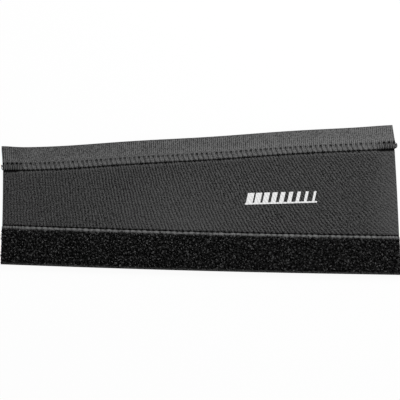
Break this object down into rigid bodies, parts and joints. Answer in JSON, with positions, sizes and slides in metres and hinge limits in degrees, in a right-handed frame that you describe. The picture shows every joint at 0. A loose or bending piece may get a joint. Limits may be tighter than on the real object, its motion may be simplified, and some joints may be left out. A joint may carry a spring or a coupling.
{
  "type": "chainstay protector",
  "caption": "Tapered neoprene wrap for a bicycle's chainstay, laid open and flat, with a hook tape along one long edge and a loop tape along the other.",
  "frame": {"origin": "middle of the underside, the face that lies against the chainstay", "axes": "+X along the wrap towards its wide end, +Y from the loop tape to the hook tape, +Z out of the outer face"},
  "size_m": [0.2608, 0.0973, 0.0054],
  "materials": {
    "neoprene": "matte",
    "hook_tape": "matte",
    "loop_tape": "matte",
    "thread": "satin"
  },
  "bodies": {
    "root": {"neoprene_panel": "neoprene", "loop_tape": "loop_tape", "hook_tape": "hook_tape", "loop_outer_seam_needle_thread": "thread", "loop_outer_seam_bobbin_thread": "thread", "loop_inner_seam_needle_thread": "thread", "loop_inner_seam_bobbin_thread": "thread", "hook_seam_needle_thread": "thread", "hook_seam_bobbin_thread": "thread"}
  },
  "joints": []
}
